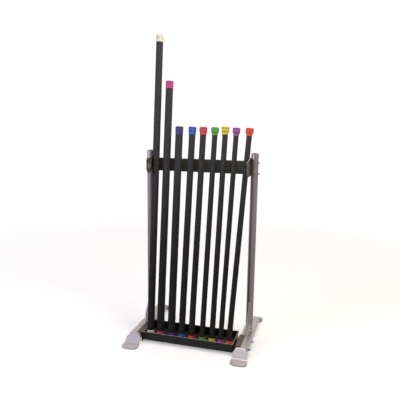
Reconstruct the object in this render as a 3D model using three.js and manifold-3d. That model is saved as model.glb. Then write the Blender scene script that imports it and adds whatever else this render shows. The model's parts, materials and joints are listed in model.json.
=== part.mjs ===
// Floor rack holding nine padded weighted exercise bars.
// Millimetres, +Z up, front of the rack towards -Y, origin on the floor at the middle of its footprint.

import * as THREE from 'three';
import { mergeVertices } from 'three/addons/utils/BufferGeometryUtils.js';
import Module from 'manifold-3d';

const wasm = await Module();
wasm.setup();

// ---------------------------------------------------------------- driving dimensions

const joinGap = 0.3;            // left between pieces that touch
const barRestGap = 0.5;         // between a resting bar and the tray or rail
const boltClearance = 0.4;      // round a bolt in its hole, on the radius
const sheet = 3;                // steel sheet of the rail and the tray brackets

const footprintDepth = 636;     // toe to toe, front to back
const uprightSpacing = 617.6;   // centre to centre, left to right

const tubeWidth = 68;
const tubeHeight = 32;
const tubeWall = 2.5;
const tubeCornerRadius = 9;
const tubeBottom = 19;          // height of the tube's underside over the floor

const footRun = 100.5;          // a foot's length in plan, from the tube's top edge to its toe
const footSlopeRun = 49.5;      // the part of it that slopes
const footCreaseHeight = 12;
const footToeHeight = 8;
const footPlate = 5;            // thickness of the sloping plate
const footTopWidth = 50;
const footWidth = 83;
const footToeWidth = 92;
const footShoulderRun = 20;     // length in plan of the cut-off top corners
const footHeelRise = 2;         // back of the sole's thickening over the crease
const footToeRadius = 26;

const uprightRadius = 21;
const uprightWall = 2.5;
const uprightY = 31;
const uprightTop = 1078.5;
const uprightCapRim = 3;
const uprightCapDome = 5;
const uprightCapStem = 18;

const gussetThickness = 8;
const gussetReach = 69;         // ahead of the upright's front
const gussetHeight = 171;
const gussetNoseHeight = 42;

const railSetback = 11;         // rail face ahead of the uprights' axis
const railDrop = 38.5;          // rail's top edge under the top of the upright tubes
const railHeight = 74;
const railFlangeDepth = 30;
const railFlangeEndGap = 14;    // flange ends stop short of the side guards
const guardRise = 18;           // guard's top edge over the rail's
const guardDrop = 83;           // guard's bottom edge under the rail's top edge
const guardReach = 122;         // ahead of the uprights' axis
const guardTail = 17;           // behind the uprights' axis
const guardTopFlat = 53;        // length of the guard's level top edge
const guardFrontDrop = 4.5;     // top of the front edge under the rail's top edge
const guardFrontHeight = 58.5;
const guardChamfer = 23;
const guardSlotWidth = 15;
const guardSlotHeight = 28;
const guardSlotRadius = 7.4;
const guardSlotSetback = 33;    // slot centre behind the guard's front edge
const guardSlotDrop = 40;       // slot centre under the rail's top edge

const traySetback = 3;          // tray's front behind the front end of the tubes' level top
const trayEndGap = 9.8;         // between the tray's rim and each bracket's upright web
const trayDepth = 169.5;
const trayBottom = 16;
const trayHeight = 49;
const trayWall = 2;
const trayHem = 2;              // thickness of the folded rim outside the wall
const trayHemHeight = 7;

const bracketSetback = 9.5;     // bracket's front behind the tray's
const bracketLength = 143;
const bracketLap = 27;          // over the top of the base tube
const bracketShelf = 32;        // under the tray
const bracketTabHeight = 2.5;   // underside of the front tab over the floor
const bracketTabWidth = 10;

// M8 bolts hold the rail, and M10 bolts the tray.
const railBolt = { radius: 4, headRadius: 6.5, headHeight: 2.6, across: 13, nutHeight: 6.5, dome: 5.6 };
const trayBolt = { radius: 5, headRadius: 8, headHeight: 3.2, across: 16, nutHeight: 9, dome: 8 };
const railBoltDrops = [69.5, 9.5];      // lower and upper bolt under the rail's top edge
const trayBoltSetbacks = [23, 117];     // front and rear bolt behind the bracket's front
const trayBoltRise = 15;                // over the tubes' underside

const capRound = 4;             // rounding of the head's end
const capGroove = 1.2;          // depth of the groove under the head
const capGrooveEdge = 1;        // length of the step down into the groove
const capGrooveLength = 2;
const capNeckStand = 1.6;       // neck outside the sleeve, on the radius
const capFloor = 20;            // solid end of the cap under its socket
const foamWall = 8;
const shortBar = 1219;
const yellowCapStand = 5;       // the yellow bar's cap isn't pushed all the way on
const barGuardGap = 1.5;        // between a guard and the nearest bar
const shortCap = { length: 46, head: 29.5 };
const longCap = { length: 45, head: 30 };

// One row for each bar from left to right: its place in the tray and its place on the rail,
// from -1 against the left end to 1 against the right end, then its sleeve's diameter,
// the width of its caps, its length and its caps' lengths.
const bars = [
  ['cream', 0xe5dccb, -0.9587, -1, 41, 45, 1754, longCap],
  ['magenta', 0xc2307f, -0.7129, -0.7513, 43.2, 45.6, 1481, longCap],
  ['indigo', 0x3a2a78, -0.4334, -0.4879, 43.4, 45.6, shortBar, shortCap],
  ['blue', 0x2f55b5, -0.1701, -0.1986, 37.4, 44.8, shortBar, shortCap],
  ['red', 0xd83a48, 0.0751, 0.0407, 35, 44.8, shortBar, shortCap],
  ['green', 0x4fa63a, 0.3403, 0.2901, 31, 44.8, shortBar, shortCap],
  ['yellow', 0xe0cb2a, 0.5796, 0.5111, 31.5, 44.8, shortBar + yellowCapStand, shortCap],
  ['orchid', 0xa24ba8, 0.7854, 0.7337, 29, 43, shortBar, shortCap],
  ['orange', 0xe0502a, 0.986, 1, 31, 44.8, shortBar, shortCap],
].map(([name, colour, trayShare, railShare, diameter, head, length, cap]) => (
  { name, colour, trayShare, railShare, diameter, head, length, cap }
));

const barSides = 20;
const uprightSides = 32;
const boltSides = 12;
const domeSteps = [Math.PI / 6, Math.PI / 3];
const headTopShare = 0.6;       // flat top of a low round bolt head
const leanRounds = 8;           // enough for the lean to settle

// ---------------------------------------------------------------- places that follow from them

const sides = [{ name: 'left', sign: -1 }, { name: 'right', sign: 1 }];
const sideX = uprightSpacing / 2;
const tubeTop = tubeBottom + tubeHeight;
const tubeTopEnd = footprintDepth / 2 - footRun;
const footSlope = new THREE.Vector2(footSlopeRun, tubeTop - footCreaseHeight).normalize();
const footPlateRun = footPlate / footSlope.y;
const guardOuterX = sideX - uprightRadius - joinGap;
const guardInnerX = guardOuterX - sheet;
const railFront = uprightY - railSetback;
const railTop = uprightTop - railDrop;
const railBottom = railTop - railHeight;
const guardFrontTop = railTop - guardFrontDrop;
const railBoltHeights = railBoltDrops.map((drop) => railTop - drop);
const tubeInnerX = sideX - tubeWidth / 2;
const tubeOuterX = sideX + tubeWidth / 2;
const bracketWebX = tubeInnerX - joinGap;
const bracketTopZ = tubeTop + joinGap + sheet;
const trayEnd = bracketWebX - sheet - trayEndGap - trayHem;
const trayFront = traySetback - tubeTopEnd;
const trayBack = trayFront + trayDepth;
const trayFloor = trayBottom + trayWall;
const bracketFront = trayFront + bracketSetback;
const trayBoltPlaces = trayBoltSetbacks.map((setback) => bracketFront + setback);
const trayBoltHeight = tubeBottom + trayBoltRise;
const upVector = new THREE.Vector3(0, 0, 1);

// ---------------------------------------------------------------- helpers

const steel = (colour, roughness) =>
  new THREE.MeshStandardMaterial({ color: colour, metalness: 0.6, roughness });
const rubber = (colour, roughness) =>
  new THREE.MeshStandardMaterial({ color: colour, metalness: 0, roughness });

const silverPaint = steel(0x9a8f90, 0.35);
const blackPaint = steel(0x222220, 0.5);
const brightZinc = steel(0xc8c8cc, 0.2);
const darkSteel = steel(0x55565a, 0.45);
const foamBlack = rubber(0x2c2c2c, 0.8);
const plugGrey = rubber(0xb9b2b0, 0.3);

function toSolid(geometry) {
  const bare = geometry.clone();
  bare.deleteAttribute('normal');
  bare.deleteAttribute('uv');
  const merged = mergeVertices(bare, 1e-4);
  return new wasm.Manifold(new wasm.Mesh({
    numProp: 3,
    vertProperties: new Float32Array(merged.attributes.position.array),
    triVerts: new Uint32Array(merged.index.array),
  }));
}

function toGeometry(solid) {
  const mesh = solid.getMesh();
  const geometry = new THREE.BufferGeometry();
  geometry.setAttribute('position', new THREE.BufferAttribute(mesh.vertProperties, 3));
  geometry.setIndex(new THREE.BufferAttribute(mesh.triVerts, 1));
  return geometry.toNonIndexed();
}

function shapeOf(points) {
  return new THREE.Shape(points.map(([x, y]) => new THREE.Vector2(x, y)));
}

function prism(shape, length) {
  return new THREE.ExtrudeGeometry(shape, { depth: length, bevelEnabled: false, curveSegments: 4 });
}

// A plan outline in X and Y, standing from z0 to z1.
function standing(shape, z0, z1) {
  return prism(shape, z1 - z0).translate(0, 0, z0);
}

// An end outline in X and Z, running from y0 to y1.
function lengthwise(shape, y0, y1) {
  return prism(shape, y1 - y0).rotateX(Math.PI / 2).translate(0, y1, 0);
}

// A side outline in Y and Z, running from x0 to x1.
function crosswise(shape, x0, x1) {
  const turn = new THREE.Matrix4().makeBasis(
    new THREE.Vector3(0, 1, 0),
    new THREE.Vector3(0, 0, 1),
    new THREE.Vector3(1, 0, 0),
  );
  return prism(shape, x1 - x0).applyMatrix4(turn).translate(x0, 0, 0);
}

function block(x0, x1, y0, y1, z0, z1) {
  return new THREE.BoxGeometry(x1 - x0, y1 - y0, z1 - z0)
    .translate((x0 + x1) / 2, (y0 + y1) / 2, (z0 + z1) / 2);
}

// A shape turned about Z from [radius, height] points, outside wall going up.
function turned(profile, segments) {
  const points = profile.map(([r, z]) => new THREE.Vector2(r, z));
  return new THREE.LatheGeometry(points, segments).rotateX(Math.PI / 2);
}

// A round bar along X for drilling.
function drill(x0, x1, y, z, radius) {
  return new THREE.CylinderGeometry(radius, radius, x1 - x0, boltSides)
    .rotateZ(Math.PI / 2)
    .translate((x0 + x1) / 2, y, z);
}

function cut(geometry, ...tools) {
  return toGeometry(tools.reduce((solid, tool) => solid.subtract(toSolid(tool)), toSolid(geometry)));
}

function join(...geometries) {
  return toGeometry(geometries.map(toSolid).reduce((solid, other) => solid.add(other)));
}

function common(a, b) {
  return toGeometry(toSolid(a).intersect(toSolid(b)));
}

function roundedRectangle(width, height, radius) {
  const shape = new THREE.Shape();
  const x = width / 2 - radius;
  const y = height / 2 - radius;
  shape.absarc(x, y, radius, 0, Math.PI / 2);
  shape.absarc(-x, y, radius, Math.PI / 2, Math.PI);
  shape.absarc(-x, -y, radius, Math.PI, 1.5 * Math.PI);
  shape.absarc(x, -y, radius, 1.5 * Math.PI, 2 * Math.PI);
  shape.closePath();
  return shape;
}

const model = new THREE.Group();

function addPiece(name, geometry, material, parent = model) {
  const mesh = new THREE.Mesh(geometry, material);
  mesh.name = name;
  parent.add(mesh);
  return mesh;
}

// ---------------------------------------------------------------- base and uprights

function baseTube() {
  const section = roundedRectangle(tubeWidth, tubeHeight, tubeCornerRadius);
  section.holes.push(roundedRectangle(
    tubeWidth - 2 * tubeWall,
    tubeHeight - 2 * tubeWall,
    tubeCornerRadius - tubeWall,
  ));
  const half = footprintDepth / 2;
  const bar = lengthwise(section, -half, half).translate(0, 0, tubeBottom + tubeHeight / 2);
  const topEnd = tubeTopEnd - footPlateRun - joinGap / footSlope.y;
  const bottomEnd = topEnd + tubeHeight * footSlope.x / footSlope.y;
  const mitre = shapeOf([
    [-bottomEnd, tubeBottom],
    [bottomEnd, tubeBottom],
    [topEnd, tubeTop],
    [-topEnd, tubeTop],
  ]);
  const mitred = common(bar, crosswise(mitre, -tubeWidth, tubeWidth));
  const holes = trayBoltPlaces.map((y) =>
    drill(-tubeWidth, tubeWidth, y, trayBoltHeight, trayBolt.radius + boltClearance));
  return cut(mitred, ...holes);
}

function footOutline() {
  const half = footprintDepth / 2;
  const toeSide = half - footToeRadius;
  const cornerX = footToeWidth / 2 - footToeRadius;
  const crease = tubeTopEnd + footSlopeRun;
  const shape = new THREE.Shape();
  shape.moveTo(footTopWidth / 2, -(tubeTopEnd - footPlateRun));
  shape.lineTo(-footTopWidth / 2, -(tubeTopEnd - footPlateRun));
  shape.lineTo(-footTopWidth / 2, -tubeTopEnd);
  shape.lineTo(-footWidth / 2, -(tubeTopEnd + footShoulderRun));
  shape.lineTo(-footWidth / 2, -crease);
  shape.lineTo(-footToeWidth / 2, -toeSide);
  shape.absarc(-cornerX, -toeSide, footToeRadius, Math.PI, 1.5 * Math.PI);
  shape.absarc(cornerX, -toeSide, footToeRadius, 1.5 * Math.PI, 2 * Math.PI);
  shape.lineTo(footWidth / 2, -crease);
  shape.lineTo(footWidth / 2, -(tubeTopEnd + footShoulderRun));
  shape.lineTo(footTopWidth / 2, -tubeTopEnd);
  shape.closePath();
  return shape;
}

function foot() {
  const crease = tubeTopEnd + footSlopeRun;
  const heelHeight = footCreaseHeight + footHeelRise;
  const heel = tubeTopEnd - footPlateRun + (tubeTop - heelHeight) * footSlope.x / footSlope.y;
  const side = shapeOf([
    [-tubeTopEnd + footPlateRun, tubeTop],
    [-tubeTopEnd, tubeTop],
    [-crease, footCreaseHeight],
    [-footprintDepth / 2, footToeHeight],
    [-footprintDepth / 2, 0],
    [-heel, 0],
    [-heel, heelHeight],
  ]);
  const slab = crosswise(side, -footToeWidth / 2, footToeWidth / 2);
  return common(slab, standing(footOutline(), 0, tubeTop));
}

function upright() {
  const inner = uprightRadius - uprightWall;
  const bottom = tubeTop + joinGap;
  const tube = turned([
    [inner, bottom],
    [uprightRadius, bottom],
    [uprightRadius, uprightTop],
    [inner, uprightTop],
    [inner, bottom],
  ], uprightSides);
  const holes = railBoltHeights.map((z) =>
    drill(-2 * uprightRadius, 2 * uprightRadius, 0, z, railBolt.radius + boltClearance));
  return cut(tube, ...holes);
}

function uprightCap() {
  const stem = uprightRadius - uprightWall - joinGap;
  const rimBottom = uprightTop + joinGap;
  const rimTop = rimBottom + uprightCapRim;
  return turned([
    [0, rimBottom - uprightCapStem],
    [stem, rimBottom - uprightCapStem],
    [stem, rimBottom],
    [uprightRadius, rimBottom],
    [uprightRadius, rimTop],
    ...domeSteps.map((angle) => [
      uprightRadius * Math.cos(angle),
      rimTop + uprightCapDome * Math.sin(angle),
    ]),
    [0, rimTop + uprightCapDome],
  ], uprightSides);
}

function gusset() {
  const back = uprightY - uprightRadius - joinGap;
  const bottom = tubeTop + joinGap;
  const outline = shapeOf([
    [back, bottom],
    [back, bottom + gussetHeight],
    [back - gussetReach, bottom + gussetNoseHeight],
    [back - gussetReach, bottom],
  ]);
  return crosswise(outline, -gussetThickness / 2, gussetThickness / 2);
}

for (const { name, sign } of sides) {
  const frame = new THREE.Group();
  frame.position.x = sign * sideX;
  model.add(frame);
  addPiece(`base_tube_${name}`, baseTube(), silverPaint, frame);
  addPiece(`front_foot_${name}`, foot(), silverPaint, frame);
  addPiece(`rear_foot_${name}`, foot(), silverPaint, frame).rotation.z = Math.PI;
  addPiece(`upright_${name}`, upright(), silverPaint, frame).position.y = uprightY;
  addPiece(`upright_cap_${name}`, uprightCap(), plugGrey, frame).position.y = uprightY;
  addPiece(`gusset_${name}`, gusset(), silverPaint, frame);
}

// ---------------------------------------------------------------- leaning rail with its side guards

function sideGuard(x0, x1) {
  const front = uprightY - guardReach;
  const back = uprightY + guardTail;
  const bottom = railTop - guardDrop;
  const outline = shapeOf([
    [back, bottom],
    [back, railTop + guardRise],
    [back - guardTopFlat, railTop + guardRise],
    [front, guardFrontTop],
    [front, guardFrontTop - guardFrontHeight],
    [front + guardChamfer, bottom],
  ]);
  const slot = roundedRectangle(guardSlotWidth, guardSlotHeight, guardSlotRadius);
  const opening = crosswise(slot, x0 - 1, x1 + 1)
    .translate(0, front + guardSlotSetback, railTop - guardSlotDrop);
  const holes = railBoltHeights.map((z) =>
    drill(x0 - 1, x1 + 1, uprightY, z, railBolt.radius + boltClearance));
  return cut(crosswise(outline, x0, x1), opening, ...holes);
}

function leaningRail() {
  const flangeEnd = guardInnerX - railFlangeEndGap;
  const back = railFront + railFlangeDepth;
  return join(
    block(-guardInnerX - 1, guardInnerX + 1, railFront, railFront + sheet, railBottom, railTop),
    block(-flangeEnd, flangeEnd, railFront, back, railTop - sheet, railTop),
    block(-flangeEnd, flangeEnd, railFront, back, railBottom, railBottom + sheet),
    sideGuard(-guardOuterX, -guardInnerX),
    sideGuard(guardInnerX, guardOuterX),
  );
}

addPiece('leaning_rail', leaningRail(), blackPaint);

// ---------------------------------------------------------------- tray and its brackets

function tray() {
  const end = trayEnd;
  const top = trayBottom + trayHeight;
  const pan = cut(
    block(-end, end, trayFront, trayBack, trayBottom, top),
    block(-end + trayWall, end - trayWall, trayFront + trayWall, trayBack - trayWall, trayFloor, top + 1),
  );
  const hemBottom = top - trayHemHeight;
  const hem = cut(
    block(-end - trayHem, end + trayHem, trayFront - trayHem, trayBack + trayHem, hemBottom, top),
    block(-end + 1, end - 1, trayFront + 1, trayBack - 1, hemBottom - 1, top + 1),
  );
  return join(pan, hem);
}

// Drawn for the right side, and mirrored for the left.
function trayBracket(sign) {
  const back = bracketFront + bracketLength;
  const inner = trayEnd + trayHem + joinGap;
  const shelfTop = trayBottom - joinGap;
  const webBack = bracketWebX - sheet;
  const tabInner = bracketWebX - bracketTabWidth;
  const parts = [
    block(webBack, bracketWebX, bracketFront, back, shelfTop - sheet, bracketTopZ),
    block(webBack, tubeInnerX + bracketLap, bracketFront, back, bracketTopZ - sheet, bracketTopZ),
    block(bracketWebX - bracketShelf, bracketWebX, bracketFront, back, shelfTop - sheet, shelfTop),
    block(inner, bracketWebX, bracketFront, bracketFront + sheet, shelfTop - sheet, bracketTopZ),
    block(tabInner, bracketWebX, bracketFront, bracketFront + sheet, bracketTabHeight, shelfTop),
  ];
  const holes = trayBoltPlaces.map((y) =>
    drill(webBack - 1, bracketWebX + 1, y, trayBoltHeight, trayBolt.radius + boltClearance));
  const bracket = cut(join(...parts), ...holes);
  return sign > 0 ? bracket : mirrored(bracket);
}

// The same shape on the other side of the rack, with its faces still pointing out.
function mirrored(geometry) {
  const flipped = geometry.clone().scale(-1, 1, 1);
  const position = flipped.attributes.position;
  const order = Array.from({ length: position.count }, (_, i) => i - (i % 3) + (3 - (i % 3)) % 3);
  flipped.setIndex(order);
  return flipped.toNonIndexed();
}

addPiece('tray', tray(), blackPaint);
for (const { name, sign } of sides) {
  addPiece(`tray_bracket_${name}`, trayBracket(sign), blackPaint);
}

// ---------------------------------------------------------------- bolts with dome nuts

// A low round head, a shank and a dome nut, as tightened: head at the bottom, nut at the top.
function domeNutBolt(bolt, grip) {
  const nutBase = grip + joinGap;
  const nutTop = nutBase + bolt.nutHeight;
  const round = turned([
    [0, -joinGap - bolt.headHeight],
    [bolt.headRadius * headTopShare, -joinGap - bolt.headHeight],
    [bolt.headRadius, -joinGap - bolt.headHeight / 2],
    [bolt.headRadius, -joinGap],
    [bolt.radius, -joinGap],
    [bolt.radius, nutBase + 1],
    [bolt.dome, nutBase + 1],
    [bolt.dome, nutTop],
    ...domeSteps.map((angle) => [
      bolt.dome * Math.cos(angle),
      nutTop + bolt.dome * Math.sin(angle),
    ]),
    [0, nutTop + bolt.dome],
  ], boltSides);
  const corner = bolt.across / Math.sqrt(3);
  const hexagon = new THREE.CylinderGeometry(corner, corner, bolt.nutHeight, 6)
    .rotateX(Math.PI / 2)
    .translate(0, 0, nutBase + bolt.nutHeight / 2);
  return join(round, hexagon);
}

// Bolts point away from the middle of the rack, so their nuts show on the outside.
function addBolt(name, bolt, sign, start, y, z, grip) {
  const piece = addPiece(name, domeNutBolt(bolt, grip), brightZinc);
  piece.rotation.y = sign * Math.PI / 2;
  piece.position.set(sign * start, y, z);
}

const railGrip = sideX + uprightRadius - guardInnerX;
const trayGrip = tubeOuterX - bracketWebX + sheet;
for (const { name, sign } of sides) {
  railBoltHeights.forEach((z, i) => {
    const place = ['lower', 'upper'][i];
    addBolt(`rail_bolt_${name}_${place}`, railBolt, sign, guardInnerX, uprightY, z, railGrip);
  });
  trayBoltPlaces.forEach((y, i) => {
    const place = ['front', 'rear'][i];
    addBolt(`tray_bolt_${name}_${place}`, trayBolt, sign, bracketWebX - sheet, y, trayBoltHeight, trayGrip);
  });
}

// ---------------------------------------------------------------- weighted bars

// The lean that makes a bar touch the rail's top front edge with its foot against the tray's front.
function leanOf(bar) {
  const headRadius = bar.head / 2;
  const reach = bar.diameter / 2 + barRestGap;
  let lean = 0;
  let foot = new THREE.Vector2();
  for (let round = 0; round < leanRounds; round += 1) {
    foot = new THREE.Vector2(
      trayFront + trayWall + 2 * barRestGap + headRadius * Math.cos(lean),
      trayFloor + barRestGap + headRadius * Math.sin(lean),
    );
    const toEdge = new THREE.Vector2(railFront, railTop).sub(foot);
    lean = Math.atan2(toEdge.x, toEdge.y) - Math.asin(reach / toEdge.length());
  }
  return { lean, foot };
}

// The outer end of a cap is at the bottom, and the bar goes on upwards from it.
function endCap(bar) {
  const head = bar.head / 2;
  const sleeve = bar.diameter / 2;
  const neck = Math.min(sleeve + capNeckStand, head - capGroove / 2);
  const socket = sleeve + joinGap;
  const grooveStart = bar.cap.head;
  const rounding = capRound * (1 - Math.SQRT1_2);
  return turned([
    [0, 0],
    [head - capRound, 0],
    [head - rounding, rounding],
    [head, capRound],
    [head, grooveStart - capGrooveEdge],
    [neck - capGroove / 2, grooveStart],
    [neck, grooveStart + capGrooveLength],
    [neck, bar.cap.length],
    [socket, bar.cap.length],
    [socket, capFloor],
    [0, capFloor],
  ], barSides);
}

function sleeveTube(bar) {
  const outer = bar.diameter / 2;
  const inner = outer - foamWall + joinGap;
  const bottom = capFloor + joinGap;
  const top = bar.length - bottom;
  return turned([[inner, bottom], [outer, bottom], [outer, top], [inner, top], [inner, bottom]], barSides);
}

function steelCore(bar) {
  const radius = bar.diameter / 2 - foamWall;
  const bottom = capFloor + joinGap;
  const top = bar.length - bottom;
  return turned([[0, bottom], [radius, bottom], [radius, top], [0, top]], barSides);
}

for (const bar of bars) {
  const { lean, foot } = leanOf(bar);
  const rise = railTop - foot.y;
  const footX = bar.trayShare * (trayEnd - trayWall - bar.head / 2 - barRestGap);
  const railX = bar.railShare * (guardInnerX - bar.diameter / 2 - barGuardGap);
  const direction = new THREE.Vector3(
    (railX - footX) / rise,
    Math.tan(lean),
    1,
  ).normalize();
  const place = new THREE.Group();
  place.position.set(footX, foot.x, foot.y);
  place.quaternion.setFromUnitVectors(upVector, direction);
  model.add(place);
  const colour = rubber(bar.colour, 0.45);
  addPiece(`${bar.name}_bar_bottom_cap`, endCap(bar), colour, place);
  const top = addPiece(`${bar.name}_bar_top_cap`, endCap(bar), colour, place);
  top.rotation.x = Math.PI;
  top.position.z = bar.length;
  addPiece(`${bar.name}_bar_sleeve`, sleeveTube(bar), foamBlack, place);
  addPiece(`${bar.name}_bar_core`, steelCore(bar), darkSteel, place);
}

export default model;
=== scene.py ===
import json
import math

import bmesh
import bpy
from bpy.props import FloatProperty, FloatVectorProperty, IntProperty, PointerProperty
from mathutils import Matrix, Vector, noise


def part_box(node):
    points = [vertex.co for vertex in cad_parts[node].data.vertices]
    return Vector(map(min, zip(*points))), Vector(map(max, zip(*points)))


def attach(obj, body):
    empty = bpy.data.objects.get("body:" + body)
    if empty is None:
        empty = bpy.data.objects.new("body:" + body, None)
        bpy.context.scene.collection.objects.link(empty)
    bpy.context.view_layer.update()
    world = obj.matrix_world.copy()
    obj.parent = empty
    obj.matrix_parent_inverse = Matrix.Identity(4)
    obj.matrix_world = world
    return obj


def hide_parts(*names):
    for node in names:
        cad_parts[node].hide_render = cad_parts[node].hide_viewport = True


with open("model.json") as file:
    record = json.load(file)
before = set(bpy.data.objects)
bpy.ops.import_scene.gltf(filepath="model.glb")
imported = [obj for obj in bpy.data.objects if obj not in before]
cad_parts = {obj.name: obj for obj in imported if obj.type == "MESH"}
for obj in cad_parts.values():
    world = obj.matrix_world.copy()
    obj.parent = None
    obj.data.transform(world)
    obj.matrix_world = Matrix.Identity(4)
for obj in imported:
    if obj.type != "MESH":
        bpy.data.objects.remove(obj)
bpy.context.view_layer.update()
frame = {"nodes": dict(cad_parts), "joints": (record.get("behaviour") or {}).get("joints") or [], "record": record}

bl_info = {
    "name": "Padded Bar Rack",
    "version": (1, 0, 0),
    "blender": (4, 5, 0),
    "location": "View3D > Sidebar > Bar Rack",
    "description": "Models a floor rack that holds padded weighted bars, round its frame",
    "category": "Object",
}

RACK = "rack"
SIDES = {"left": -1, "right": 1}
BARS = [joint["child"] for joint in frame["joints"]]
FULL_TURN = 2 * math.pi
RIGHT_ANGLE = math.pi / 2
STEPS_PER_RIB = 5
RING_STEPS = 64
SAME_PLACE = 1e-5
FLAT_ANGLE = math.radians(1)
BEND_ANGLE = math.radians(15)
SHARP_ANGLE = math.radians(30)
CRISP_ANGLE = math.radians(38)
RIM_ANGLE = math.radians(40)
LEVEL_ENOUGH = 0.3       # upward share of the direction of a foot's upper faces
CLEARANCE = 0.0003       # between a piece and what it fits round or inside
BEAD_RING_STEPS = 160
BEAD_STEP = 0.0016       # between the rings of a straight bead
BEAD_PITCH = 0.0042      # between the ripples of a straight bead
BEADS_PER_RING = 40
SLEEVE_RING_STEP = 0.03
UP = Vector((0, 0, 1))


# ---------------------------------------------------------------- settings that a user can change


def slot_colour(slot):
    """The record's colour for a material slot."""
    found = next(m for m in frame["record"]["materials"] if m["slot"] == slot)
    return found["base_color"][:3]


def length(name, description, default):
    return FloatProperty(name=name, description=description, default=default, unit="LENGTH", precision=5)


def turn(name, description, default):
    return FloatProperty(name=name, description=description, default=default, unit="ROTATION")


def colour(name, description, default):
    return FloatVectorProperty(
        name=name, description=description, default=default, subtype="COLOR", min=0, max=1
    )


class RackSizes(bpy.types.PropertyGroup):
    """Sizes of the details that the frame leaves open."""

    sheet_edge: length("Sheet edge", "Rounding of the folded sheet steel's edges", 0.0008)
    plate_edge: length("Foot edge", "Rounding of a foot's upper edge", 0.003)
    gusset_edge: length("Gusset edge", "Rounding of a gusset's edges", 0.0012)
    shoulder_round: length("Foot shoulder", "Rounding of a foot's cut-off corners", 0.014)
    crease_round: length("Foot bend", "Rounding where a foot bends to its toe", 0.014)
    tube_corner: length("Tube corner", "Corner radius of the base tubes", 0.009)
    tube_wall: length("Tube wall", "Wall of the base tubes and uprights", 0.0025)
    slope_run: length("Slope run", "Length in plan over which a foot's slope falls", 0.0495)
    slope_fall: length("Slope fall", "Height that a foot's slope loses over its run", 0.039)
    plug_stem: length("Plug stem", "Depth of an upright's plug inside the tube", 0.018)
    plug_rim: length("Plug rim", "Height of the plug's straight rim", 0.003)
    bead: length("Weld bead", "Radius of the weld beads", 0.0032)
    washer: length("Washer", "Thickness of the washers under the dome nuts", 0.001)
    cap_round: length("Cap rounding", "Rounding of a rubber cap's outer end", 0.0045)
    cap_floor: length("Cap floor", "Solid rubber beyond the end of the sleeve", 0.02)
    cap_stand: length("Neck stand", "Neck of a cap outside its sleeve, on the radius", 0.0016)
    groove_depth: length("Groove depth", "Depth of the groove under a cap's head", 0.0016)
    groove_step: length("Groove step", "Length of the step from a cap's head to its groove", 0.001)
    groove_width: length("Groove width", "Width of the groove under a cap's head", 0.002)
    rib_count: IntProperty(name="Ribs", description="Grip ribs round a cap", default=30, min=8)
    rib_depth: length("Rib depth", "Depth of the flutes between the grip ribs", 0.0005)
    foam_wave: length("Foam wave", "Unevenness of the foam's surface", 0.00018)


class RackColours(bpy.types.PropertyGroup):
    """Colours of the rack and of the bars' sleeves."""

    silver: colour("Silver coat", "Powder coat of the side frames", (0.285, 0.25, 0.258))
    # painted light: the lighter, bluer silver of the feet's slopes and toes
    feet: colour("Foot coat", "Lighter powder coat of the feet", (0.34, 0.325, 0.36))
    # painted highlight: the near white tone given to the weld beads
    weld: colour("Weld highlight", "Bright coat over the welds", (0.66, 0.62, 0.66))
    black: colour("Black coat", "Powder coat of the tray and brackets", (0.0045, 0.0047, 0.0035))
    # painted light: the rail's tone, lighter than the tray's
    rail: colour("Rail coat", "Rubbed powder coat of the leaning rail", (0.062, 0.066, 0.048))
    # dust and painted top light: the tan that the black coats take on what faces up
    dust: colour("Dust and top light", "Tone of what faces up on the black coat", (0.078, 0.062, 0.036))
    zinc: colour("Zinc", "Plating of the bolts", (0.78, 0.78, 0.80))
    plug: colour("Plug", "Plastic of the uprights' plugs", (0.09, 0.085, 0.088))
    foam: colour("Foam", "Rubber foam of the sleeves", (0.0075, 0.0073, 0.0078))
    # painted light: the lighter tone that the foam takes higher up
    worn_foam: colour("Lit foam", "Foam greyed by hands, higher up", (0.03, 0.029, 0.03))
    core: colour("Core", "Steel inside the bars", slot_colour("core_steel"))
    # painted shade: the dark tone on the silver coats' undersides and lowest few millimetres
    grime: colour("Under shade", "Dirt near the floor and on undersides", (0.05, 0.036, 0.036))
    floor: colour("Floor", "Studio floor and backdrop", (0.42, 0.42, 0.42))


class CapColours(bpy.types.PropertyGroup):
    """Colours of the rubber caps, one for each bar."""


for body in BARS:
    CapColours.__annotations__[body] = colour(
        body.replace("_", " ").capitalize(),
        "Rubber of this bar's caps",
        slot_colour("cap_" + body.removesuffix("_bar")),
    )


class StageSettings(bpy.types.PropertyGroup):
    """Where the camera stands and how bright the studio is."""

    eye: FloatVectorProperty(
        name="Camera place",
        description="Where the camera stands",
        default=(0.7034, -2.4858, 1.25),
        unit="LENGTH",
    )
    yaw: turn("Camera turn", "Turn to the left from straight ahead", 0.2739)
    pitch: turn("Camera tilt", "Tilt up from level", -0.1693)
    roll: turn("Camera roll", "Roll about the line of sight", 0.015)
    lens: FloatProperty(
        name="Lens", description="Focal length on a 36 mm sensor", default=41.12, unit="CAMERA"
    )
    key_power: FloatProperty(name="Key", description="Warm softbox on the right", default=54)
    fill_power: FloatProperty(name="Fill", description="Cool softbox on the left", default=66)
    top_power: FloatProperty(name="Top", description="Softbox overhead", default=95)
    sky: FloatProperty(name="Surround", description="Brightness of the white surround", default=0.24)
    glow: FloatProperty(name="Paper glow", description="Light that the backdrop gives", default=0.85)


# ---------------------------------------------------------------- materials


class Wire:
    """A value that a shader node gives. Python's operators on it add Math nodes."""

    def __init__(self, finish, socket):
        self.finish = finish
        self.socket = socket

    def maths(self, operation, *values):
        return self.finish.node("ShaderNodeMath", {"operation": operation}, dict(enumerate(values)))

    def __add__(self, other):
        return self.maths("ADD", self, other)

    def __radd__(self, other):
        return self.maths("ADD", other, self)

    def __sub__(self, other):
        return self.maths("SUBTRACT", self, other)

    def __rsub__(self, other):
        return self.maths("SUBTRACT", other, self)

    def __mul__(self, other):
        return self.maths("MULTIPLY", self, other)

    def __rmul__(self, other):
        return self.maths("MULTIPLY", other, self)

    def __pow__(self, other):
        return self.maths("POWER", self, other)


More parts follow.
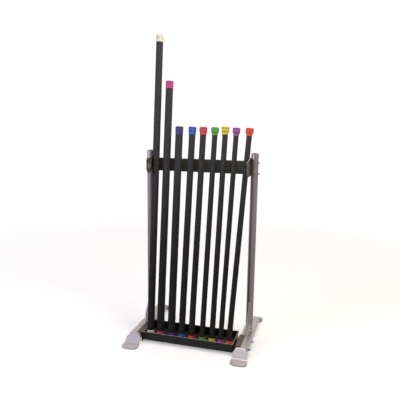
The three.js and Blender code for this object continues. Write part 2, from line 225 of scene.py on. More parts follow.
class Finish:
    """A material with one principled shader, and short ways to add nodes to it."""

    def __init__(self, name, **uniform):
        self.material = bpy.data.materials.new(name)
        self.material.use_nodes = True
        self.tree = self.material.node_tree
        self.tree.nodes.clear()
        output = self.tree.nodes.new("ShaderNodeOutputMaterial")
        self.shader = self.tree.nodes.new("ShaderNodeBsdfPrincipled")
        self.tree.links.new(self.shader.outputs[0], output.inputs[0])
        for setting, value in uniform.items():
            self.set(setting.replace("_", " ").title().replace("Ior", "IOR"), value)
        self.place = self.node("ShaderNodeTexCoord", output="Object")

    def feed(self, socket, value):
        if isinstance(value, Wire):
            self.tree.links.new(value.socket, socket)
        elif socket.type == "RGBA":
            socket.default_value = (*value, 1)
        else:
            socket.default_value = value

    def set(self, name, value):
        self.feed(self.shader.inputs[name], value)

    def node(self, kind, settings=None, sockets=None, output=0):
        """Adds a node: its type, its settings, its sockets' values or wires, and the output wanted."""
        made = self.tree.nodes.new(kind)
        for name, value in (settings or {}).items():
            setattr(made, name, value)
        for name, value in (sockets or {}).items():
            self.feed(made.inputs[name], value)
        return Wire(self, made.outputs[output])

    def noise(self, scale, detail=2.0, stretch=(1, 1, 1)):
        """Soft noise from 0 to 1, with so many features to the metre."""
        spread = self.node("ShaderNodeMapping", None, {"Vector": self.place, "Scale": stretch})
        return self.node(
            "ShaderNodeTexNoise", None, {"Vector": spread, "Scale": scale, "Detail": detail}
        )

    def rise(self, value, low, high):
        """0 where the value is under low, 1 over high, and smooth between them."""
        return self.node(
            "ShaderNodeMapRange",
            {"interpolation_type": "SMOOTHSTEP"},
            {"Value": value, "From Min": low, "From Max": high},
        )

    def blend(self, factor, first, second):
        """A colour between two, by a factor from 0 to 1."""
        return self.node(
            "ShaderNodeMix", {"data_type": "RGBA"}, {0: factor, 6: first, 7: second}, output=2
        )

    def shade(self, tone, factor):
        """A colour made darker or lighter by a factor."""
        grey = self.node("ShaderNodeCombineColor", None, {0: factor, 1: factor, 2: factor})
        return self.node(
            "ShaderNodeMix",
            {"data_type": "RGBA", "blend_type": "MULTIPLY"},
            {0: 1.0, 6: tone, 7: grey},
            output=2,
        )

    def facing(self, axis):
        """The share of an axis in the surface's direction."""
        normal = self.node("ShaderNodeNewGeometry", output="Normal")
        return self.node("ShaderNodeSeparateXYZ", None, {0: normal}, output=axis)

    def facing_up(self):
        return self.facing("Z")

    def height(self):
        return self.node("ShaderNodeSeparateXYZ", None, {0: self.place}, output="Z")

    def bumps(self, *layers):
        """Adds relief. Each layer is a height from 0 to 1 and its depth in metres."""
        normal = None
        for relief, depth in layers:
            sockets = {"Height": relief, "Distance": depth, "Strength": 1.0}
            if normal:
                sockets["Normal"] = normal
            normal = self.node("ShaderNodeBump", None, sockets)
        self.set("Normal", normal)


def metallic_coat(name, tone, grime, metallic, front_highlight=0.0):
    """Satin metallic powder coat with fine flakes, orange peel and scuffs.

    Painted shade darkens its undersides, its lowest few millimetres and the uprights low down.
    Painted top light lightens what faces up, and its front edges can take a painted highlight.
    """
    coat = Finish(name, metallic=metallic, coat_weight=0.1, coat_roughness=0.2)
    clouds = coat.noise(5, 3)
    flakes = coat.noise(1400, 1)
    scuffs = coat.rise(coat.noise(38, 6, (1, 1, 0.35)), 0.6, 0.72)
    low = 1 - coat.rise(coat.height(), 0.002, 0.03)
    # painted shade: faces that point down are darkened
    under = 1 - coat.rise(coat.facing_up(), -0.75, -0.3)
    # painted shade: the lowest few millimetres are darkened as a contact shadow
    sole = 1 - coat.rise(coat.height(), 0.0015, 0.0042)
    # painted shade: from 7 cm up, fading out between 45 cm and 1.05 m, the coat is darkened where the bars shade
    # the uprights
    tone_shift = coat.rise(coat.height(), 0.07, 0.1) * (1 - coat.rise(coat.height(), 0.45, 1.05))
    painted = coat.shade(tone, (0.84 + 0.2 * clouds + 0.14 * flakes) * (1.08 - 0.5 * tone_shift))
    scuffed_and_lit = coat.blend(0.32 * scuffs * (0.35 + low), painted, (0.42, 0.38, 0.36))
    # painted top light: what faces up is blended half way toward a light tan
    upward_tint = 0.5 * coat.rise(coat.facing_up(), 0.85, 0.99)
    scuffed_and_lit = coat.blend(upward_tint, scuffed_and_lit, (0.5, 0.45, 0.4))
    if front_highlight:
        # painted highlight: faces that look to the front are blended toward near white
        rubbed = front_highlight * (1 - coat.rise(coat.facing("Y"), -0.97, -0.8))
        scuffed_and_lit = coat.blend(rubbed, scuffed_and_lit, (0.8, 0.78, 0.8))
    under_shade_share = coat.node("ShaderNodeMath", {"operation": "MAXIMUM"}, {0: 0.85 * under, 1: 0.9 * sole})
    coat.set("Base Color", coat.blend(under_shade_share, scuffed_and_lit, grime))
    coat.set("Roughness", 0.24 + 0.1 * clouds + 0.08 * flakes + 0.12 * scuffs)
    coat.bumps((coat.noise(420, 2), 0.00005), (scuffs, 0.00003))
    return coat.material


def silver_coat(colours):
    """The coat of the tubes."""
    return metallic_coat("silver_coat", colours.silver, colours.grime, 0.72)


def lit_gusset_coat(colours):
    """The tubes' coat with a painted highlight on the gussets' front edges."""
    return metallic_coat("lit_gusset_coat", colours.silver, colours.grime, 0.72, front_highlight=0.9)


def weld_highlight_coat(colours):
    """A near white copy of the silver coat over the weld beads: a painted highlight."""
    return metallic_coat("weld_highlight_coat", colours.weld, colours.grime, 0.85)


def lit_foot_coat(colours):
    """A lighter, bluer copy of the silver coat on the feet: painted light."""
    return metallic_coat("lit_foot_coat", colours.feet, colours.grime, 0.45)


def satin_coat(name, tone, dust):
    """Satin powder coat: rubbed patches, dust and painted top light on what faces up, painted shade low in the
    tray, a painted highlight on the hem.
    """
    coat = Finish(name, specular_ior_level=0.22)
    clouds = coat.noise(9, 4)
    rubs = coat.rise(coat.noise(60, 7, (0.3, 1, 1)), 0.58, 0.74)
    # dust and painted top light: what faces up is blended toward a dull tan
    upward_tint = coat.rise(coat.facing_up(), 0.6, 0.95) * (0.45 + 0.55 * clouds)
    # painted shade: below 3 cm, inside the tray, most of that tan is held back
    tray_floor_shade = 1 - coat.rise(coat.height(), 0.03, 0.048)
    # painted highlight: what faces up above about 6 cm, such as the tray's hem, is blended toward a light tan
    edge = coat.rise(coat.facing_up(), 0.25, 0.6) * coat.rise(coat.height(), 0.06, 0.0635)
    base = coat.shade(tone, 0.7 + 0.6 * clouds)
    rubbed = coat.blend(0.25 * rubs, base, (0.05, 0.048, 0.045))
    dusty_and_lit = coat.blend(upward_tint * (1 - 0.75 * tray_floor_shade), rubbed, dust)
    coat.set("Base Color", coat.blend(edge * (0.6 + 0.4 * clouds), dusty_and_lit, (0.28, 0.235, 0.18)))
    coat.set("Roughness", 0.36 + 0.14 * clouds + 0.1 * rubs)
    coat.bumps((coat.noise(520, 2), 0.0001), (rubs, 0.00002))
    return coat.material


def black_coat(colours):
    """The coat of the tray and its brackets."""
    return satin_coat("black_coat", colours.black, colours.dust)


def lit_rail_coat(colours):
    """The black coat made lighter for the leaning rail: painted light."""
    return satin_coat("lit_rail_coat", colours.rail, colours.dust)


def bright_zinc(colours):
    """Bright plating with faint turning marks and a little dulling."""
    plating = Finish("bright_zinc", metallic=1.0)
    tone_shift = plating.noise(70, 4)
    marks = plating.noise(900, 2, (0.2, 1, 1))
    plating.set("Base Color", plating.shade(colours.zinc, 0.82 + 0.25 * tone_shift))
    plating.set("Roughness", 0.1 + 0.16 * tone_shift + 0.05 * marks)
    plating.bumps((marks, 0.00002))
    return plating.material


def plug_plastic(colours):
    """Glossy moulded plastic with fine scratches."""
    plastic = Finish("plug_plastic", specular_ior_level=1.0, coat_weight=1.0, coat_roughness=0.05)
    clouds = plastic.noise(45, 3)
    scratches = plastic.rise(plastic.noise(220, 5, (1, 0.12, 1)), 0.6, 0.7)
    plastic.set("Base Color", plastic.shade(colours.plug, 0.8 + 0.4 * clouds))
    plastic.set("Roughness", 0.1 + 0.08 * clouds + 0.15 * scratches)
    plastic.bumps((plastic.noise(600, 2), 0.00004))
    return plastic.material


def foam_rubber(colours):
    """Matt black foam with a fine open grain, faint mottling and rubbed patches, painted lighter higher up as
    painted light from above.
    """
    foam = Finish("foam_rubber", specular_ior_level=0.12)
    mottle = foam.noise(48, 5)
    rubbed = foam.rise(foam.noise(7, 3, (1, 1, 0.25)), 0.5, 0.72)
    pores = foam.noise(1700, 3)
    # painted light: the foam is blended toward a lighter tone from 35 cm up to 1.25 m, standing in for the light
    # from above
    painted_height_light = foam.rise(foam.height(), 0.35, 1.25) * (0.82 + 0.18 * rubbed)
    tone = foam.blend(painted_height_light, colours.foam, colours.worn_foam)
    foam.set("Base Color", foam.shade(tone, 0.62 + 0.62 * mottle + 0.2 * pores))
    foam.set("Roughness", 0.5 + 0.16 * mottle - 0.08 * rubbed)
    foam.bumps((pores, 0.00008), (foam.noise(260, 3), 0.00012))
    return foam.material


def cap_rubber(name, tone):
    """Coloured rubber: a little chalky, with a fine grain, and painted shade that darkens the flutes and the
    groove.
    """
    rubber = Finish(name + "_cap_rubber", specular_ior_level=0.35)
    chalk = rubber.noise(55, 5)
    hollow_shade = rubber.node("ShaderNodeAttribute", {"attribute_name": "hollow_shade"}, output="Fac")
    grain = rubber.noise(1500, 2)
    # painted shade: the flutes and the groove are darkened
    toned = rubber.shade(tone, (0.54 + 0.15 * chalk + 0.05 * grain) * (1 - 0.35 * hollow_shade))
    rubber.set("Base Color", rubber.blend(0.03 * chalk, toned, (0.8, 0.78, 0.76)))
    rubber.set("Roughness", 0.4 + 0.16 * chalk)
    rubber.bumps((grain, 0.00005))
    return rubber.material


def core_steel(colours):
    """Bare drawn steel."""
    steel = Finish("core_steel", metallic=1.0)
    drawn = steel.noise(300, 3, (1, 1, 0.05))
    steel.set("Base Color", steel.shade(colours.core, 0.8 + 0.4 * drawn))
    steel.set("Roughness", 0.3 + 0.2 * drawn)
    steel.bumps((drawn, 0.00005))
    return steel.material


def studio_paper(colours, glow):
    """Plain pale backdrop paper, faintly mottled, with a painted glow that is grey near the rack and white far
    from it.
    """
    paper = Finish("studio_paper", roughness=0.9, specular_ior_level=0.1, emission_strength=glow)
    away = paper.node("ShaderNodeVectorMath", {"operation": "LENGTH"}, {0: paper.place}, output="Value")
    # painted glow: the paper's emission goes from grey near the rack to white 5 m away
    white = paper.rise(away, 0.6, 5)
    paper.set("Emission Color", paper.blend(white, (0.5, 0.5, 0.5), (1, 1, 1)))
    paper.set("Base Color", paper.shade(colours.floor, 0.985 + 0.03 * paper.noise(2, 2)))
    return paper.material


def shared_material(make, colours):
    """The material that a function makes, made once and shared by every piece that asks."""
    return bpy.data.materials.get(make.__name__) or make(colours)


# ---------------------------------------------------------------- mesh helpers


def arc(centre, radius, start, end, steps):
    """Points on an arc in a profile, as (radius, height), from one angle to another in degrees."""
    angles = (math.radians(start + (end - start) * i / steps) for i in range(steps + 1))
    return [(centre[0] + radius * math.cos(a), centre[1] + radius * math.sin(a)) for a in angles]


def turned(profile, steps=RING_STEPS, closed=False):
    """A solid turned about Z from a profile of (radius, height) points."""
    bm = bmesh.new()
    verts = [bm.verts.new((r, 0, z)) for r, z in profile]
    pairs = list(zip(verts, verts[1:])) + ([(verts[-1], verts[0])] if closed else [])
    edges = [bm.edges.new(pair) for pair in pairs]
    bmesh.ops.spin(
        bm, geom=verts + edges, cent=(0, 0, 0), axis=UP, angle=FULL_TURN, steps=steps, use_merge=True
    )
    bmesh.ops.remove_doubles(bm, verts=bm.verts, dist=SAME_PLACE)
    bmesh.ops.recalc_face_normals(bm, faces=bm.faces)
    return bm


def ring_profile(inner, outer, bottom, top, edge):
    """The section of a tube, with its four corners rounded."""
    return [
        *arc((inner + edge, bottom + edge), edge, 180, 270, 3),
        *arc((outer - edge, bottom + edge), edge, 270, 360, 3),
        *arc((outer - edge, top - edge), edge, 0, 90, 3),
        *arc((inner + edge, top - edge), edge, 90, 180, 3),
    ]


def edges_over(bm, angle, chosen=None):
    """The edges that fold by more than an angle, and that a test accepts."""
    return [
        e for e in bm.edges
        if len(e.link_faces) == 2 and e.calc_face_angle(0) > angle and (not chosen or chosen(e))
    ]


def round_edges(bm, edges, radius, segments):
    bmesh.ops.bevel(
        bm, geom=edges, offset=radius, offset_type="OFFSET", segments=segments, profile=0.5,
        affect="EDGES", clamp_overlap=True, material=-1,
    )


def merged_copy(node):
    """A copy of a node's mesh, with its doubles merged and its flat faces whole."""
    bm = bmesh.new()
    bm.from_mesh(frame["nodes"][node].data)
    bmesh.ops.remove_doubles(bm, verts=bm.verts, dist=SAME_PLACE)
    bmesh.ops.dissolve_limit(bm, angle_limit=FLAT_ANGLE, verts=bm.verts, edges=bm.edges)
    return bm


def softened_copy(node, radius, segments=3):
    """A merged copy of a node's mesh with every sharp edge rounded."""
    bm = merged_copy(node)
    round_edges(bm, edges_over(bm, SHARP_ANGLE), radius, segments)
    return bm


def piece(bm, name, material, body=RACK, nodes=(), even=False):
    """Makes an object of a bmesh, which rides on a body and stands for nodes of the frame."""
    for face in bm.faces:
        face.smooth = True
    for edge in edges_over(bm, CRISP_ANGLE):
        edge.smooth = False
    mesh = bpy.data.meshes.new(name)
    bm.to_mesh(mesh)
    bm.free()
    mesh.materials.append(material)
    made = bpy.data.objects.new(name, mesh)
    bpy.context.scene.collection.objects.link(made)
    if even:
        made.modifiers.new("Even shading", "WEIGHTED_NORMAL").keep_sharp = True
    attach(made, body)
    if nodes:
        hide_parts(*nodes)
    return made


# ---------------------------------------------------------------- side frames


def base_tube(sizes, side):
    """Flat rectangular tube with round corners, mitred at both ends."""
    lo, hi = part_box(f"base_tube_{side}")
    bm = bmesh.new()
    size = Matrix.Diagonal((*(hi - lo), 1))
    bmesh.ops.create_cube(bm, size=1, matrix=Matrix.Translation((lo + hi) / 2) @ size)
    lengthwise = [e for e in bm.edges if abs((e.verts[0].co - e.verts[1].co).y) > SAME_PLACE]
    round_edges(bm, lengthwise, sizes.tube_corner, 8)
    ends = [f for f in bm.faces if abs(f.normal.y) > 0.9]
    bmesh.ops.delete(bm, geom=ends, context="FACES_ONLY")
    for end, y in ((-1, lo.y), (1, hi.y)):
        away = Vector((0, end * sizes.slope_fall, sizes.slope_run)).normalized()
        whole = bm.verts[:] + bm.edges[:] + bm.faces[:]
        middle = ((lo + hi) / 2).x
        bmesh.ops.bisect_plane(
            bm, geom=whole, plane_co=(middle, y, lo.z), plane_no=away, clear_outer=True
        )
    bmesh.ops.solidify(bm, geom=bm.faces[:], thickness=sizes.tube_wall)
    bmesh.ops.recalc_face_normals(bm, faces=bm.faces)
    return bm


def foot(sizes, node):
    """Bent foot plate: rounded shoulders, a soft bend to the toe and a soft upper edge."""
    bm = merged_copy(node)
    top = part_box(node)[1].z

    def bend(edge):
        run = (edge.verts[0].co - edge.verts[1].co).x
        return all(f.normal.z > LEVEL_ENOUGH for f in edge.link_faces) and abs(run) > sizes.plate_edge

    def rim(edge):
        return any(f.normal.z > LEVEL_ENOUGH for f in edge.link_faces)

    def shoulder(edge):
        line = (edge.verts[0].co - edge.verts[1].co).normalized()
        middle = (edge.verts[0].co + edge.verts[1].co) / 2
        return abs(line.x) < 0.2 and line.z != 0 and middle.z > top / 3 and not rim(edge)

    round_edges(bm, edges_over(bm, BEND_ANGLE, shoulder), sizes.shoulder_round, 5)
    round_edges(bm, edges_over(bm, BEND_ANGLE, bend), sizes.crease_round, 6)
    round_edges(bm, edges_over(bm, RIM_ANGLE, rim), sizes.plate_edge, 4)
    return bm


def upright(sizes, side):
    """Round tube, open at both ends."""
    lo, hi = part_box(f"upright_{side}")
    outer = (hi.x - lo.x) / 2
    bm = turned(ring_profile(outer - sizes.tube_wall, outer, lo.z, hi.z, 0.0004), closed=True)
    bm.transform(Matrix.Translation(((lo.x + hi.x) / 2, (lo.y + hi.y) / 2, 0)))
    return bm


def upright_plug(sizes, side):
    """Domed plug with a straight rim and a stem inside the tube."""
    lo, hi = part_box(f"upright_cap_{side}")
    rim = (hi.x - lo.x) / 2
    stem = rim - sizes.tube_wall - CLEARANCE
    seat = lo.z + sizes.plug_stem
    shoulder = seat + sizes.plug_rim
    dome = hi.z - shoulder
    steps = 10
    shares = [1 - i / steps for i in range(steps)]
    bm = turned([
        (0, lo.z),
        (stem, lo.z),
        (stem, seat),
        *arc((rim - 0.0006, seat + 0.0006), 0.0006, -90, 0, 3),
        *arc((rim - 0.0012, shoulder - 0.0006), 0.0012, 0, 60, 3),
        *[(rim * 0.95 * share, shoulder + dome * (1 - share ** 2)) for share in shares],
        (0, hi.z),
    ])
    bm.transform(Matrix.Translation(((lo.x + hi.x) / 2, (lo.y + hi.y) / 2, 0)))
    return bm


def ripple(position, pitch):
    """The stacked-coin swell of a weld bead along its length."""
    return 1 + 0.1 * math.sin(FULL_TURN * position / pitch)


def ring_bead(centre, ring, radius):
    """A weld bead round a tube's foot."""
    bm = turned(arc((ring, 0), radius, 0, 330, 11), steps=BEAD_RING_STEPS, closed=True)
    for vert in bm.verts:
        angle = math.atan2(vert.co.y, vert.co.x)
        middle = Vector((ring * math.cos(angle), ring * math.sin(angle), 0))
        vert.co = middle + (vert.co - middle) * ripple(angle * ring, ring * FULL_TURN / BEADS_PER_RING)
    bm.transform(Matrix.Translation(centre))
    return bm


def straight_bead(start, end, radius):
    """A weld bead along a line, with round ends."""
    line = end - start
    rings = int(line.length / BEAD_STEP)
    angles = [RIGHT_ANGLE * i / 4 for i in range(5)]
    rounding = [(radius * math.sin(a), -radius * math.cos(a)) for a in angles]
    along = [(radius, line.length * i / rings) for i in range(1, rings)]
    far = [(r, line.length - z) for r, z in reversed(rounding)]
    bm = turned(rounding + along + far, steps=10)
    for vert in bm.verts:
        vert.co.xy *= ripple(vert.co.z, BEAD_PITCH)
    bm.transform(Matrix.Translation(start) @ line.to_track_quat("Z", "Y").to_matrix().to_4x4())
    return bm


def joined(parts):
    """One bmesh of several."""
    whole = bmesh.new()
    for part in parts:
        mesh = bpy.data.meshes.new("part")
        part.to_mesh(mesh)
        part.free()
        whole.from_mesh(mesh)
        bpy.data.meshes.remove(mesh)
    return whole


def frame_welds(sizes, side):
    """The beads that hold an upright and its gusset on the base tube."""
    tube_lo, tube_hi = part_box(f"upright_{side}")
    lo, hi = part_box(f"gusset_{side}")
    centre = Vector(((tube_lo.x + tube_hi.x) / 2, (tube_lo.y + tube_hi.y) / 2, tube_lo.z))
    ring = (tube_hi.x - tube_lo.x) / 2 + 0.3 * sizes.bead
    parts = [ring_bead(centre, ring, sizes.bead)]
    thin = sizes.bead * 0.8
    back = hi.y + 0.0006
    for x in (lo.x, hi.x):
        along_tube = Vector((x, lo.y + 0.004, lo.z)), Vector((x, hi.y - 0.001, lo.z))
        up_the_tube = Vector((x, back, lo.z + 0.005)), Vector((x, back, hi.z - 0.002))
        parts += [straight_bead(*along_tube, thin), straight_bead(*up_the_tube, thin)]
    return joined(parts)


# ---------------------------------------------------------------- bolts


def along_x(bm, sign, x, y, z):
    """Lays what stands on Z along X, pointing away from the rack's middle."""
    bm.transform(Matrix.Translation((x, y, z)) @ Matrix.Rotation(sign * RIGHT_ANGLE, 4, "Y"))
    return bm


def bolt_pieces(sizes, node, shank, across, nut_height, dome):
    """The head with its shank, the washer and the dome nut, each standing on Z from the inner end."""
    lo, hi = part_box(node)
    whole = hi.x - lo.x
    nut_base = whole - dome - nut_height
    head = across / 2
    head_height = across / 5
    bolt = turned([
        (0, 0),
        *arc((head * 0.62, head_height * 0.9), head * 0.38, 250, 360, 5)[1:],
        (head, head_height),
        (shank, head_height),
        (shank, nut_base + nut_height / 2),
        (0, nut_base + nut_height / 2),
    ], steps=32)
    washer = turned(
        ring_profile(shank * 1.05, across * 0.66, nut_base - CLEARANCE, nut_base + sizes.washer, 0.0002),
        steps=40, closed=True,
    )
    nut = bmesh.new()
    body_height = nut_height - sizes.washer
    middle = nut_base + sizes.washer + body_height / 2
    bmesh.ops.create_cone(
        nut, cap_ends=True, segments=6, radius1=across / math.sqrt(3), radius2=across / math.sqrt(3),
        depth=body_height, matrix=Matrix.Translation((0, 0, middle)),
    )
    round_edges(nut, nut.edges[:], 0.0005, 3)
    top = nut_base + nut_height
    ball = turned([(0, top - 0.001), (dome, top - 0.001), *arc((0, top), dome, 0, 90, 9)], steps=36)
    return bolt, washer, joined([nut, ball])


# ---------------------------------------------------------------- bars


def line_of(body):
    """A point on a bar's own line and the line's direction."""
    lo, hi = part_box(f"{body}_sleeve")
    joint = next(j for j in frame["joints"] if j["child"] == body)
    return (lo + hi) / 2, Vector(joint["axis"]).normalized()


def span(node, point, axis):
    """Where a node starts and ends along a line, its greatest distance from it, and where that is."""
    offsets = [v.co - point for v in frame["nodes"][node].data.vertices]
    along = [o.dot(axis) for o in offsets]
    apart = [(o - axis * t).length for o, t in zip(offsets, along)]
    widest = [t for t, d in zip(along, apart) if d > max(apart) - 0.0002]
    return min(along), max(along), max(apart), (min(widest), max(widest))


def end_cap(sizes, head, sleeve, cap_length, head_end):
    """Rubber cap with its outer end at Z 0: ribbed head, groove, neck and a rolled lip."""
    neck = min(sleeve + sizes.cap_stand, head - 0.0006)
    groove = neck - sizes.groove_depth / 2
    lip = 0.0008
    ribs_low = sizes.cap_round + 0.0012
    ribs_high = head_end - 0.0042
    ribs = [ribs_low + (ribs_high - ribs_low) * t for t in (0, 0.03, 0.35, 0.65, 0.97, 1)]
    steps = sizes.rib_count * STEPS_PER_RIB
    bm = turned([
        (0, 0),
        (head * 0.5, 0),
        *arc((head - sizes.cap_round, sizes.cap_round), sizes.cap_round, -90, 0, 7),
        *[(head, z) for z in ribs],
        *arc((head - 0.0012, head_end - 0.0022), 0.0012, 0, 80, 4),
        (groove, head_end - 0.0003),
        (groove, head_end + sizes.groove_width - 0.0006),
        *arc((neck - 0.0006, head_end + sizes.groove_width), 0.0006, -60, 0, 2),
        (neck, cap_length - lip),
        *arc((neck - lip, cap_length - lip), lip, 0, 90, 3),
        (sleeve + CLEARANCE, cap_length - 0.0004),
        (sleeve + CLEARANCE, sizes.cap_floor),
        (0, sizes.cap_floor),
    ], steps=steps)
    # marks the flutes and the groove for the caps' painted shade
    hollow_shade = bm.verts.layers.float.new("hollow_shade")
    for vert in bm.verts:
        spread = vert.co.xy.length
        place = round(math.atan2(vert.co.y, vert.co.x) / FULL_TURN * steps) % STEPS_PER_RIB
        on_ribs = ribs[1] - SAME_PLACE < vert.co.z < ribs[-2] + SAME_PLACE
        if on_ribs and abs(spread - head) < SAME_PLACE and place >= STEPS_PER_RIB - 2:
            vert.co.xy *= 1 - sizes.rib_depth / head
            vert[hollow_shade] = 1
        if abs(spread - groove) < SAME_PLACE:
            vert[hollow_shade] = 1
    return bm


def sleeve_tube(sizes, outer, inner, sleeve_length):
    """Foam tube whose surface is a little uneven."""
    rings = int(sleeve_length / SLEEVE_RING_STEP)
    edge = 0.001
    bm = turned([
        *arc((inner + edge, edge), edge, 180, 270, 2),
        *arc((outer - edge, edge), edge, 270, 360, 3),
        *[(outer, sleeve_length * i / rings) for i in range(1, rings)],
        *arc((outer - edge, sleeve_length - edge), edge, 0, 90, 3),
        *arc((inner + edge, sleeve_length - edge), edge, 90, 180, 2),
    ], steps=48, closed=True)
    for vert in bm.verts:
        spread = vert.co.xy.length
        if spread > outer - edge / 2:
            swell = noise.noise(Vector((vert.co.x * 30, vert.co.y * 30, vert.co.z * 9)))
            vert.co.xy *= 1 - sizes.foam_wave * (0.5 + 0.5 * swell) / spread
    return bm


# ---------------------------------------------------------------- stage


def aimed(place, target):
    """A transform at a place, looking at a target."""
    place = Vector(place)
    facing = (Vector(target) - place).to_track_quat("-Z", "Y")
    return Matrix.Translation(place) @ facing.to_matrix().to_4x4()


def softbox(name, place, target, width, height, power, tone):
    light = bpy.data.lights.new(name, "AREA")
    light.shape = "RECTANGLE"
    light.size = width
    light.size_y = height
    light.energy = power
    light.color = tone
    made = bpy.data.objects.new(name, light)
    bpy.context.scene.collection.objects.link(made)
    made.matrix_world = aimed(place, target)
    return made


def studio_sweep(material):
    """Pale floor that curves up into a backdrop."""
    bm = bmesh.new()
    reach, bend, half_width = 9, 3, 14
    angles = [RIGHT_ANGLE * i / 12 for i in range(1, 13)]
    curve = [(reach + bend * math.sin(a), bend - bend * math.cos(a)) for a in angles]
    outline = [(-reach, 0), (reach, 0), *curve, (reach + bend, reach)]
    verts = [bm.verts.new((-half_width, y, z)) for y, z in outline]
    edges = [bm.edges.new(pair) for pair in zip(verts, verts[1:])]
    swept = bmesh.ops.extrude_edge_only(bm, edges=edges)["geom"]
    far_side = [v for v in swept if isinstance(v, bmesh.types.BMVert)]
    bmesh.ops.translate(bm, vec=(2 * half_width, 0, 0), verts=far_side)
    bmesh.ops.recalc_face_normals(bm, faces=bm.faces)
    for face in bm.faces:
        face.smooth = True
    mesh = bpy.data.meshes.new("studio_sweep")
    bm.to_mesh(mesh)
    bm.free()
    mesh.materials.append(material)
    sweep = bpy.data.objects.new("studio_sweep", mesh)
    bpy.context.scene.collection.objects.link(sweep)


# ---------------------------------------------------------------- operators


class BARRACK_OT_stage(bpy.types.Operator):
    """Set up the camera, the soft lights and the pale floor"""

    bl_idname = "bar_rack.stage"
    bl_label = "Stage"

    def execute(self, context):
        scene = context.scene
        stage = scene.bar_rack_stage
        camera = bpy.data.objects.new("camera", bpy.data.cameras.new("camera"))
        scene.collection.objects.link(camera)
        camera.data.sensor_width = 36
        camera.data.lens = stage.lens
        camera.matrix_world = (
            Matrix.Translation(stage.eye)
            @ Matrix.Rotation(stage.yaw, 4, "Z")
            @ Matrix.Rotation(RIGHT_ANGLE + stage.pitch, 4, "X")
            @ Matrix.Rotation(stage.roll, 4, "Z")
        )
        scene.camera = camera
        softbox("key_softbox", (1.9, -1.2, 2.9), (0, 0, 1.0), 0.9, 1.4, stage.key_power, (1, 0.86, 0.68))
        softbox("fill_softbox", (-2.0, -1.9, 2.2), (0, 0, 1.0), 0.9, 1.6, stage.fill_power, (0.78, 0.75, 1))
        softbox("top_softbox", (0.2, 0.3, 3.2), (0, 0, 0.75), 2.0, 1.4, stage.top_power, (1, 0.93, 0.86))
        world = bpy.data.worlds.new("white_surround")
        scene.world = world
        world.use_nodes = True
        nodes, links = world.node_tree.nodes, world.node_tree.links
        dim = nodes["Background"]
        dim.inputs["Color"].default_value = (0.97, 0.97, 0.98, 1)
        dim.inputs["Strength"].default_value = stage.sky
        pale = nodes.new("ShaderNodeBackground")
        pale.inputs["Color"].default_value = (0.97, 0.97, 0.97, 1)
        seen = nodes.new("ShaderNodeLightPath")
        mix = nodes.new("ShaderNodeMixShader")
        links.new(seen.outputs["Is Camera Ray"], mix.inputs[0])
        links.new(dim.outputs[0], mix.inputs[1])
        links.new(pale.outputs[0], mix.inputs[2])
        links.new(mix.outputs[0], nodes["World Output"].inputs["Surface"])
        scene.view_settings.view_transform = "Standard"
        studio_sweep(studio_paper(scene.bar_rack_colours, stage.glow))
        return {"FINISHED"}


class BARRACK_OT_side_frames(bpy.types.Operator):
    """Model the base tubes, feet, uprights, plugs, gussets and welds on both sides"""

    bl_idname = "bar_rack.side_frames"
    bl_label = "Side frames"

    def execute(self, context):
        sizes = context.scene.bar_rack_sizes
        colours = context.scene.bar_rack_colours
        silver = shared_material(silver_coat, colours)
        lit_silver = shared_material(lit_foot_coat, colours)
        # the gussets' coat, with a painted highlight on their front edges
        rubbed = shared_material(lit_gusset_coat, colours)
        # the weld beads' coat is a painted highlight
        bright = shared_material(weld_highlight_coat, colours)
        plastic = shared_material(plug_plastic, colours)
        for side in SIDES:
            nodes = [f"base_tube_{side}"]
            piece(base_tube(sizes, side), f"{side}_base_tube", silver, nodes=nodes, even=True)
            for end in ("front", "rear"):
                node = f"{end}_foot_{side}"
                bm = foot(sizes, node)
                piece(bm, f"{side}_{end}_foot", lit_silver, nodes=[node], even=True)
            piece(upright(sizes, side), f"{side}_upright", silver, nodes=[f"upright_{side}"])
            node = f"upright_cap_{side}"
            bm = upright_plug(sizes, side)
            piece(bm, f"{side}_upright_plug", plastic, nodes=[node])
            node = f"gusset_{side}"
            bm = softened_copy(node, sizes.gusset_edge)
            piece(bm, f"{side}_gusset", rubbed, nodes=[node], even=True)
            piece(frame_welds(sizes, side), f"{side}_frame_welds", bright)
        return {"FINISHED"}


class BARRACK_OT_sheet_steel(bpy.types.Operator):
    """Model the leaning rail, the tray and the tray's brackets"""

    bl_idname = "bar_rack.sheet_steel"
    bl_label = "Rail and tray"

    def execute(self, context):
        sizes = context.scene.bar_rack_sizes
        coats = {
            "leaning_rail": lit_rail_coat,
            "tray": black_coat,
            "tray_bracket_left": black_coat,
            "tray_bracket_right": black_coat,
        }
        for node, coat in coats.items():
            painted = shared_material(coat, context.scene.bar_rack_colours)
            bm = softened_copy(node, sizes.sheet_edge)
            piece(bm, f"{node}_sheet", painted, nodes=[node], even=True)
        return {"FINISHED"}


class BARRACK_OT_bolts(bpy.types.Operator):
    """Model the rail and tray bolts with their washers and dome nuts"""

    bl_idname = "bar_rack.bolts"
    bl_label = "Bolts"

    def execute(self, context):
        sizes = context.scene.bar_rack_sizes
        zinc = shared_material(bright_zinc, context.scene.bar_rack_colours)
        # for each kind: its places, the shank's radius, the width across the nut's flats,
        # the nut's height with its washer, and the dome's radius
        kinds = {
            "rail": (("lower", "upper"), 0.004, 0.013, 0.0065, 0.0056),
            "tray": (("front", "rear"), 0.005, 0.016, 0.009, 0.008),
        }
        for side, sign in SIDES.items():
            for kind, (places, *measures) in kinds.items():
                for place in places:
                    node = f"{kind}_bolt_{side}_{place}"
                    lo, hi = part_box(node)
                    start = lo.x if sign > 0 else hi.x
                    seat = (start, (lo.y + hi.y) / 2, (lo.z + hi.z) / 2)
                    parts = bolt_pieces(sizes, node, *measures)
                    for bm, part in zip(parts, ("bolt", "washer", "dome_nut")):
                        along_x(bm, sign, *seat)
                        stands_for = [node] if part == "bolt" else []
                        name = f"{side}_{place}_{kind}_{part}"
                        piece(bm, name, zinc, nodes=stands_for)
        return {"FINISHED"}


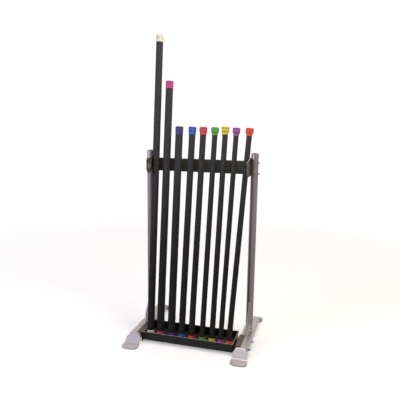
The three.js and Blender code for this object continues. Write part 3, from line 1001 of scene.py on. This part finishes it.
class BARRACK_OT_bars(bpy.types.Operator):
    """Model the padded bars with their foam sleeves and rubber caps"""

    bl_idname = "bar_rack.bars"
    bl_label = "Padded bars"

    def execute(self, context):
        scene = context.scene
        sizes = scene.bar_rack_sizes
        colours = scene.bar_rack_colours
        foam = shared_material(foam_rubber, colours)
        steel = shared_material(core_steel, colours)
        for body in BARS:
            point, axis = line_of(body)
            upwards = axis.to_track_quat("Z", "Y").to_matrix().to_4x4()
            start, end, outer, _ = span(f"{body}_sleeve", point, axis)
            _, _, core, _ = span(f"{body}_core", point, axis)
            bm = sleeve_tube(sizes, outer, core + CLEARANCE, end - start)
            bm.transform(Matrix.Translation(point + axis * start) @ upwards)
            sleeve = piece(bm, f"{body}_foam", foam, body, [f"{body}_sleeve"])
            rubber = cap_rubber(body, getattr(scene.bar_rack_cap_colours, body))
            for place, flip in (("bottom", 0), ("top", math.pi)):
                node = f"{body}_{place}_cap"
                low, high, head, (head_low, head_high) = span(node, point, axis)
                head_end = (high - head_low if flip else head_high - low) + sizes.groove_step
                bm = end_cap(sizes, head, outer, high - low, head_end)
                outer_end = high if flip else low
                bm.transform(
                    Matrix.Translation(point + axis * outer_end)
                    @ upwards
                    @ Matrix.Rotation(flip, 4, "X")
                )
                piece(bm, f"{body}_{place}_rubber", rubber, body, [node])
            frame["nodes"][f"{body}_core"].material_slots[0].material = steel
        return {"FINISHED"}


class BARRACK_PT_panel(bpy.types.Panel):
    """Lists the steps that model the rack, and every setting"""

    bl_idname = "BARRACK_PT_panel"
    bl_label = "Bar Rack"
    bl_space_type = "VIEW_3D"
    bl_region_type = "UI"
    bl_category = "Bar Rack"

    def draw(self, context):
        for step in STEPS:
            self.layout.operator(step.bl_idname)
        for group_name, group_type in GROUPS.items():
            for name in group_type.__annotations__:
                self.layout.prop(getattr(context.scene, group_name), name)


STEPS = [
    BARRACK_OT_stage,
    BARRACK_OT_side_frames,
    BARRACK_OT_sheet_steel,
    BARRACK_OT_bolts,
    BARRACK_OT_bars,
]
GROUPS = {
    "bar_rack_sizes": RackSizes,
    "bar_rack_colours": RackColours,
    "bar_rack_cap_colours": CapColours,
    "bar_rack_stage": StageSettings,
}


def register():
    for made in (*GROUPS.values(), *STEPS, BARRACK_PT_panel):
        bpy.utils.register_class(made)
    for name, group in GROUPS.items():
        setattr(bpy.types.Scene, name, PointerProperty(type=group))


def unregister():
    for name in GROUPS:
        delattr(bpy.types.Scene, name)
    for made in reversed((*GROUPS.values(), *STEPS, BARRACK_PT_panel)):
        bpy.utils.unregister_class(made)


def main():
    register()
    bpy.ops.bar_rack.stage()
    bpy.ops.bar_rack.side_frames()
    bpy.ops.bar_rack.sheet_steel()
    bpy.ops.bar_rack.bolts()
    bpy.ops.bar_rack.bars()


if __name__ == "__main__":
    main()
